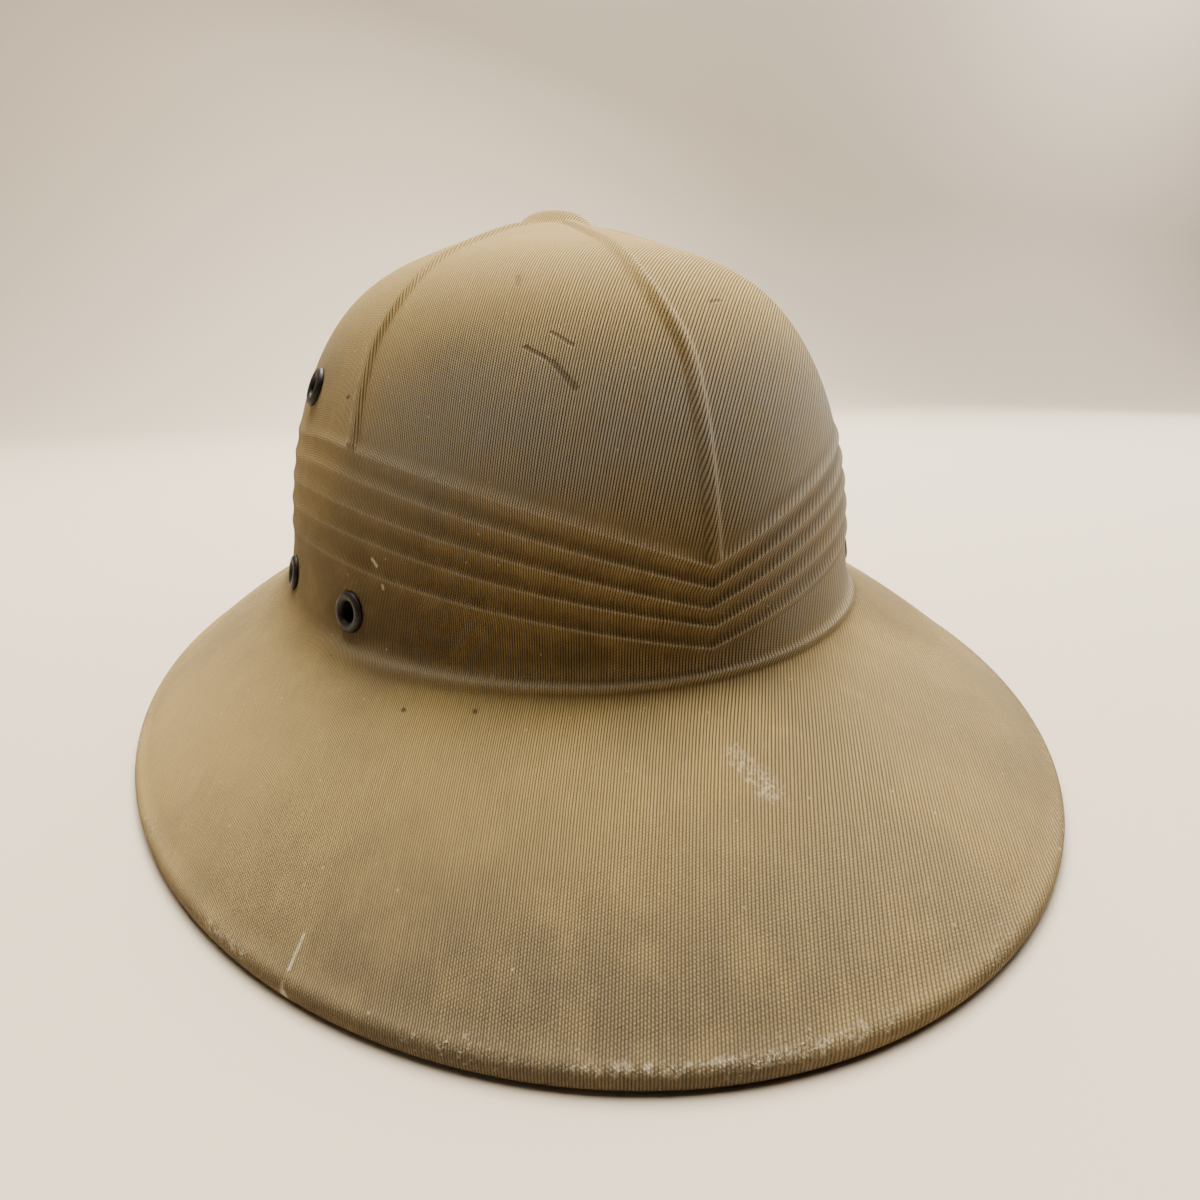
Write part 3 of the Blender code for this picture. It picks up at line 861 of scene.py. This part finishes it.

# %% [markdown]
# The cloth starts as khaki. Age shifts it towards grey or straw, and dirt darkens the rim and a
# little of the front. Light and shade are painted in as well: a warm, lighter gold on the top of
# the crown where light falls from above, a cool grey tint on its front and left, brown shade on
# and below the band, on the brim at the wearer's left and in hollows and creases, pale highlights
# on crests and edges, and a shadow over the front of the brim. The grooves between the cords are
# then multiplied in as painted shade, faintly where the cloth lies flat or is rubbed. Worn places
# show pale fibre over everything.

# %% Cloth material
KHAKI = (0.408, 0.287, 0.106, 1)
WARM_TOP_LIGHT = (0.600, 0.400, 0.095, 1)
GROOVE_SHADE = (0.10, 0.09, 0.07, 1)
FLAT_GROOVE_SHADE = (0.50, 0.47, 0.42, 1)
STRAW = (0.520, 0.375, 0.160, 1)
GREYED = (0.235, 0.180, 0.090, 1)
COOL_LIGHT_GREY = (0.325, 0.297, 0.243, 1)
SHADE_AND_GRIME_BROWN = (0.105, 0.064, 0.020, 1)
FIBRE = (0.540, 0.460, 0.320, 1)
HIGHLIGHT_AND_RUB = (0.440, 0.370, 0.250, 1)
DIRT_AND_CREASE_SHADE = (0.070, 0.046, 0.020, 1)
FRONT_SHADOW_AND_GRIME = (0.110, 0.087, 0.057, 1)


def new_material(name):
    """A material as a Tree with its Principled shader."""
    result = bpy.data.materials.new(name)
    result.use_nodes = True
    return result, Tree(result.node_tree), result.node_tree.nodes["Principled BSDF"]


def cloth_material():
    """Khaki drill, aged and scuffed, with light and shade painted in."""
    result, tree, shader = new_material("khaki drill")
    cloth = tree.add("ShaderNodeUVMap", uv_map="cloth").outputs["UV"]
    coordinates = tree.add("ShaderNodeTexCoord").outputs["Object"]
    position = tree.vector("MULTIPLY", coordinates, (1000, 1000, 1000))
    place = tree.add("ShaderNodeSeparateXYZ", {0: position}).outputs
    leftward, height = place["X"], place["Z"]
    on_band, on_brim = tree.ramp(height, 98.0, 70.0), tree.ramp(height, 36.0, 28.0)
    left_band = tree.math("MULTIPLY", tree.ramp(leftward, -2.0, 40.0), on_band)
    left_brim_shade = tree.math("MULTIPLY", tree.ramp(leftward, 25.0, 100.0), on_brim)
    flat = tree.math("MAXIMUM", tree.ramp(height, 36.0, 6.0), left_band)
    pressed = tree.add("ShaderNodeUVMap", uv_map="wear").outputs["UV"]
    wear = tree.add("ShaderNodeSeparateXYZ", {0: pressed}).outputs
    edges = tree.math("ADD", wear["X"], wear["Y"], clamp=True)
    flat = tree.math("MAXIMUM", flat, tree.math("MULTIPLY", edges, 0.75))
    beads = tree.ramp(height, 8.0, 34.0, 0.24, 0.34)
    weave = use_group(tree, "drill weave", {"Cloth": cloth, "Pitch": CORD_PITCH,
                                            "Wander": CORD_WANDER, "Beads": beads})
    age = use_group(tree, "cloth age", {"Position": position})
    marks = use_group(tree, "marks", {"Position": position})
    rim_wear_and_shadow = use_group(tree, "rim scuffs and front shadow", {"Position": position,
                                            "Half Width": BRIM_HALF_WIDTH / MM,
                                            "Half Length": BRIM_HALF_LENGTH / MM})
    slub = tree.ramp(weave["Slub"], 0.35, 0.75, 0.0, 0.45)
    colour = tree.mix(slub, KHAKI, STRAW)
    colour = tree.mix(tree.ramp(age["Broad"], 0.40, 0.68, 0.0, 0.6), colour, GREYED)
    colour = tree.mix(tree.ramp(age["Mottle"], 0.52, 0.78, 0.0, 0.30), colour, STRAW)
    # Painted highlight: the top of the crown, lit from above, is painted a lighter, warm gold.
    colour = tree.mix(tree.ramp(height, 92.0, 128.0, 0.0, 0.85), colour, WARM_TOP_LIGHT)
    zones = use_group(tree, "painted light and shade zones", {"Position": position, "Age": age["Mottle"]})
    # Painted light and shade: a cool grey tint of side light on the crown's front and left, and
    # brown shade on and below the band.
    colour = tree.mix(zones["Cool Light"], colour, COOL_LIGHT_GREY)
    colour = tree.mix(zones["Band Shade"], colour, SHADE_AND_GRIME_BROWN)
    # Painted shade, with some grime, in hollows and creases; painted highlight, with some rubbing,
    # on crests and edges.
    colour = tree.mix(tree.math("MULTIPLY", wear["Y"], 0.36), colour, SHADE_AND_GRIME_BROWN)
    colour = tree.mix(tree.math("MULTIPLY", wear["X"], 0.80), colour, HIGHLIGHT_AND_RUB)
    # Painted shade: the brim towards the wearer's left is darkened.
    colour = tree.mix(tree.math("MULTIPLY", left_brim_shade, 0.22), colour, SHADE_AND_GRIME_BROWN)
    uneven = tree.ramp(age["Mottle"], 0.3, 0.6, 0.75, 1.0)
    # Painted shadow, with a little grime, over the front of the brim.
    front_shadow_and_grime = tree.math("MULTIPLY", tree.math("MULTIPLY", rim_wear_and_shadow["Front Shadow And Grime"], 0.82), uneven)
    colour = tree.mix(front_shadow_and_grime, colour, FRONT_SHADOW_AND_GRIME)
    dirt_and_crease_shade = tree.ramp(age["Grain"], 0.50, 0.80, 0.0, 0.22)
    soiled_edge = tree.math("MULTIPLY", tree.math("MULTIPLY", rim_wear_and_shadow["Edge"], 0.15), uneven)
    dirt_and_crease_shade = tree.math("ADD", dirt_and_crease_shade, soiled_edge)
    # The dark marks carry painted shade along the crown's creases as well as dirt.
    dirt_and_crease_shade = tree.math("ADD", dirt_and_crease_shade, tree.math("MULTIPLY", marks["Dark"], 0.9), clamp=True)
    colour = tree.mix(dirt_and_crease_shade, colour, DIRT_AND_CREASE_SHADE)
    groove_shade = tree.mix(flat, GROOVE_SHADE, FLAT_GROOVE_SHADE)
    groove = tree.mix(weave["Cord"], groove_shade, (1, 1, 1, 1))
    colour = tree.mix(1.0, colour, groove, "MULTIPLY")
    pale = tree.math("MAXIMUM", tree.math("MULTIPLY", rim_wear_and_shadow["Worn"], 0.85), marks["Pale"])
    pale = tree.math("MAXIMUM", pale, tree.math("MULTIPLY", age["Lint"], 0.40))
    colour = tree.mix(pale, colour, FIBRE)
    colour = tree.mix(tree.math("MULTIPLY", age["Specks"], 0.5), colour, DIRT_AND_CREASE_SHADE)
    tree.tree.links.new(colour, shader.inputs["Base Color"])

    roughness = tree.math("MULTIPLY_ADD", age["Mottle"], 0.14, 0.80)
    tree.tree.links.new(roughness, shader.inputs["Roughness"])
    shader.inputs["Specular IOR Level"].default_value = 0.25
    fuzz = tree.math("MULTIPLY_ADD", age["Grain"], 0.5, weave["Height"])
    fuzz = tree.math("SUBTRACT", fuzz, tree.math("MULTIPLY", marks["Dark"], 2.5))
    fuzz = tree.math("ADD", fuzz, tree.math("MULTIPLY", rim_wear_and_shadow["Worn"], 1.2))
    bump = tree.add("ShaderNodeBump", {"Height": fuzz, "Strength": 1.0, "Distance": 0.00022})
    tree.tree.links.new(bump.outputs["Normal"], shader.inputs["Normal"])
    return result


shell.data.materials.clear()
shell.data.materials.append(cloth_material())
print("cloth material on", shell.name)

# %% [markdown]
# The eyelets are japanned: a dark coat over brass, satin, rubbed through on the lip and dusty in
# the roll. Their own map says how far round the profile a point is.


# %% Eyelet material
def metal_material():
    """Dark coat with brass showing where it has rubbed through."""
    result, tree, shader = new_material("japanned brass")
    turned = tree.add("ShaderNodeUVMap", uv_map="turned").outputs["UV"]
    coordinates = tree.add("ShaderNodeTexCoord").outputs["Object"]
    position = tree.vector("MULTIPLY", coordinates, (1000, 1000, 1000))
    along = tree.add("ShaderNodeSeparateXYZ", {0: turned}).outputs["Y"]
    crest = tree.ramp(tree.math("ABSOLUTE", tree.math("SUBTRACT", along, 0.28)), 0.16, 0.02)
    rub = tree.math("MULTIPLY", tree.ramp(tree.noise(position, 1.1, 3.0, 0.6), 0.50, 0.68), crest)
    blotch = tree.noise(position, 0.7, 2.0)
    colour = tree.mix(blotch, (0.006, 0.005, 0.004, 1), (0.015, 0.012, 0.010, 1))
    colour = tree.mix(tree.math("MULTIPLY", rub, 0.35), colour, (0.16, 0.11, 0.06, 1))
    dust = tree.ramp(tree.noise(position, 3.5, 3.0, 0.7), 0.58, 0.78, 0.0, 0.15)
    colour = tree.mix(dust, colour, (0.16, 0.13, 0.09, 1))
    tree.tree.links.new(colour, shader.inputs["Base Color"])
    tree.tree.links.new(tree.math("MULTIPLY", rub, 0.4), shader.inputs["Metallic"])
    roughness = tree.math("MULTIPLY_ADD", blotch, 0.22, 0.40)
    tree.tree.links.new(roughness, shader.inputs["Roughness"])
    shader.inputs["Specular IOR Level"].default_value = 0.25
    bump = tree.add("ShaderNodeBump", {"Height": tree.noise(position, 4.0, 3.0), "Strength": 0.35,
                                       "Distance": 0.00008})
    tree.tree.links.new(bump.outputs["Normal"], shader.inputs["Normal"])
    return result


metal = metal_material()
for piece in eyelets:
    piece.data.materials.append(metal)
print("eyelets", len(eyelets))

# %% [markdown]
# The studio is a pale sheet that rises behind the helmet, a wide soft light above and a little
# behind it, and weak light from the sides, so that the front of the crown stays in soft shade.
# Two more lights only brighten the sheet behind.

# %% Floor and backdrop
def plain_material(name, colour, roughness):
    """One colour, for the studio."""
    result, tree, shader = new_material(name)
    shader.inputs["Base Color"].default_value = (*colour, 1)
    shader.inputs["Roughness"].default_value = roughness
    return result


def studio_floor():
    """A pale sheet from just behind the camera, flat under the helmet, that curves up behind."""
    across = np.linspace(-7, 7, 15)
    flat, bend, wall = 1.1, 0.7, 4.0
    turn = np.radians(np.linspace(0, 90, 17))
    run = np.concatenate([[-0.7], flat + bend * np.sin(turn), [flat + bend]])
    rise = np.concatenate([[0.0], bend * (1 - np.cos(turn)), [bend + wall]])
    grid_x, grid_y = np.meshgrid(across, run)
    grid_z = np.repeat(rise[:, None], len(across), 1)
    points = np.stack([grid_x, grid_y, grid_z], -1).reshape(-1, 3)
    index = np.arange(len(points)).reshape(grid_x.shape)
    quads = np.stack([index[:-1, :-1], index[:-1, 1:], index[1:, 1:], index[1:, :-1]], -1)
    mesh = bpy.data.meshes.new("studio_floor")
    mesh.from_pydata(points.tolist(), [], quads.reshape(-1, 4).tolist())
    mesh.shade_smooth()
    mesh.materials.append(plain_material("studio paper", (0.58, 0.50, 0.40), 0.9))
    result = bpy.data.objects.new("studio_floor", mesh)
    bpy.context.scene.collection.objects.link(result)
    return result


studio_floor()


# %% Lights
def soft_light(name, place, aim, size, power, colour):
    """Adds a square area light at a place, turned towards a point."""
    data = bpy.data.lights.new(name, "AREA")
    data.shape = "SQUARE"
    data.size = size
    data.energy = power
    data.color = colour
    light = bpy.data.objects.new(name, data)
    light.location = place
    light.rotation_euler = (Vector(aim) - Vector(place)).to_track_quat("-Z", "Y").to_euler()
    bpy.context.scene.collection.objects.link(light)


# A row for each light: name, place, aim, size, power, colour.
LIGHTS = (
    ("ceiling", (0.20, 0.50, 1.45), (0, 0, 0.05), 1.1, 116, (1.0, 0.94, 0.82)),
    ("left window", (-1.6, 0.5, 0.45), (0, 0, 0.06), 0.8, 3, (1.0, 0.90, 0.75)),
    ("right room", (1.5, 0.2, 0.6), (0, 0, 0.06), 0.8, 12, (0.98, 0.98, 0.98)),
    ("wall wash", (0.5, 0.6, 2.3), (0.8, 1.8, 0.9), 1.0, 40, (1.0, 0.97, 0.92)),
    ("far wall wash", (3.0, 0.6, 2.3), (3.6, 1.8, 0.9), 1.6, 100, (1.0, 0.97, 0.92)),
)
for light_row in LIGHTS:
    soft_light(*light_row)
print("lights", len(LIGHTS))
world = bpy.data.worlds.new("studio air")
world.use_nodes = True
world.node_tree.nodes["Background"].inputs["Color"].default_value = (0.95, 0.95, 1.0, 1)
world.node_tree.nodes["Background"].inputs["Strength"].default_value = 0.01
bpy.context.scene.world = world

# %% [markdown]
# The photo was taken close by with a very wide lens, from just above the brim at the wearer's
# right front, with the camera turned slightly on its axis.

# %% Camera
CAMERA_PLACE = Vector((-0.06564, -0.20861, 0.09526))
CAMERA_AIM = Vector((0.0179, 0.0084, 0.0035))
CAMERA_ROLL = -0.65
CAMERA_LENS = 17.25
camera_data = bpy.data.cameras.new("photo camera")
camera_data.lens = CAMERA_LENS
camera_data.sensor_width = 36
camera_data.clip_start = 0.01
camera = bpy.data.objects.new("photo camera", camera_data)
camera.location = CAMERA_PLACE
aim = (CAMERA_AIM - CAMERA_PLACE).to_track_quat("-Z", "Y")
camera.rotation_mode = "QUATERNION"
camera.rotation_quaternion = aim @ Quaternion((0, 0, 1), np.radians(CAMERA_ROLL))
bpy.context.scene.collection.objects.link(camera)
bpy.context.scene.camera = camera
